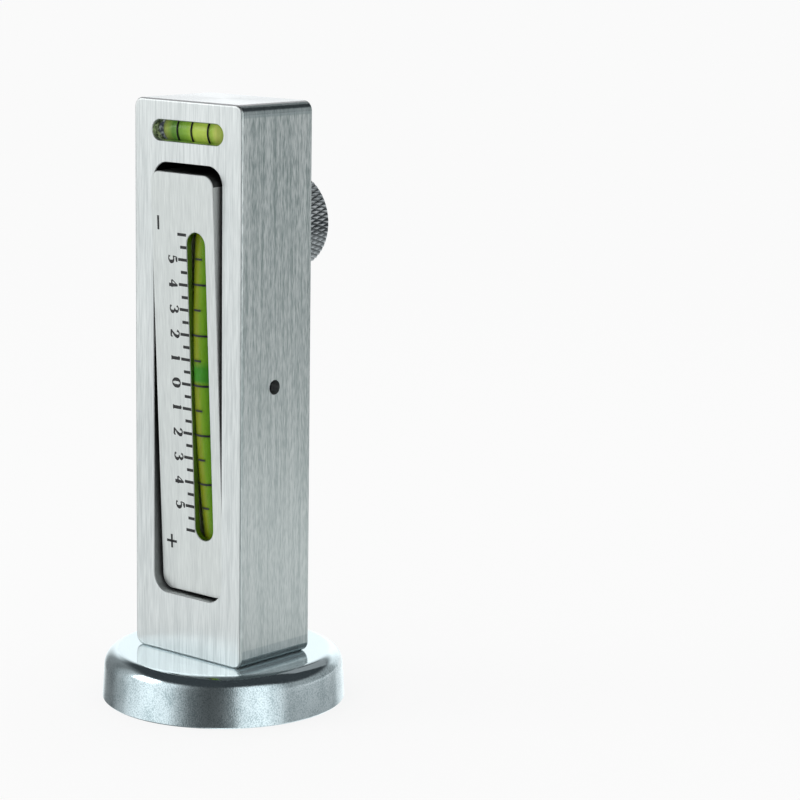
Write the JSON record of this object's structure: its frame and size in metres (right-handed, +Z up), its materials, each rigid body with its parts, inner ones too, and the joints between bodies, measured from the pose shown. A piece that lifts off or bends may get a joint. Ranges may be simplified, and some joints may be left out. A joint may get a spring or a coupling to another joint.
{
  "type": "camber caster gauge",
  "caption": "Upright magnetic wheel alignment gauge: rectangular aluminium bar on a round magnet, tilting spirit level scale, crosswise level vial and knurled adjusting knob.",
  "frame": {"origin": "centre of the magnet's gripping face, at the bottom of the base", "axes": "+Z up along the bar; the scale faces -Y and the knob is at +Y; +X is to the right seen from the scale side"},
  "size_m": [0.06, 0.06, 0.1476],
  "materials": {
    "brushed_aluminium": "vertically brushed, clear anodised",
    "turned_aluminium": "fine turned face, diamond knurled rim",
    "zinc_plated_steel": "bright blue-white zinc plating, polished top",
    "bare_steel": "plain ground steel",
    "black_steel": "black oxide",
    "spring_steel": "drawn wire",
    "brass": "turned",
    "ferrite": "dark grey ground ferrite",
    "resin": "cast epoxy",
    "clear_acrylic": "polished clear acrylic",
    "green_spirit": "clear yellow-green liquid",
    "rubber": "soft black rubber"
  },
  "bodies": {
    "housing": {"housing": "brushed_aluminium", "level_vial_tube": "clear_acrylic", "level_vial_plug": "clear_acrylic", "level_vial_spirit": "green_spirit", "pivot_pin": "black_steel", "pivot_spacers": "brass", "magnet_cup": "zinc_plated_steel", "ring_magnet": "ferrite", "pole_piece": "zinc_plated_steel", "magnet_potting": "resin", "base_screw": "black_steel", "base_washer": "spring_steel", "return_spring": "spring_steel"},
    "scale_carrier": {"scale_carrier": "brushed_aluminium", "camber_vial_tube": "clear_acrylic", "camber_vial_plugs": "clear_acrylic", "camber_vial_spirit": "green_spirit", "vial_cushions": "rubber", "back_plate": "bare_steel", "back_plate_screws": "black_steel"},
    "thrust_pad": {"thrust_pad": "brass"},
    "knob": {"knob": "turned_aluminium", "adjusting_screw": "bare_steel"}
  },
  "joints": [
    {"name": "screw_feed", "type": "slide", "parent": "housing", "child": "thrust_pad", "axis": [0, -1, 0], "range_m": [-0.00417, 0.00104]},
    {"name": "knob_turn", "type": "hinge", "parent": "thrust_pad", "child": "knob", "pos_m": [0, 0.01145, 0.1166], "axis": [0, -1, 0], "range_deg": [-1860, 460]},
    {"name": "carrier_tilt", "type": "hinge", "parent": "housing", "child": "scale_carrier", "pos_m": [0, -0.00129, 0.07985], "axis": [1, 0, 0], "range_deg": [-6.45, 1.6], "deforming": ["return_spring"]}
  ],
  "couplings": [
    {"joint": "screw_feed", "follows": "knob_turn", "m_per_rad": 0.00012732},
    {"joint": "carrier_tilt", "follows": "knob_turn", "ratio": 0.0034646}
  ]
}
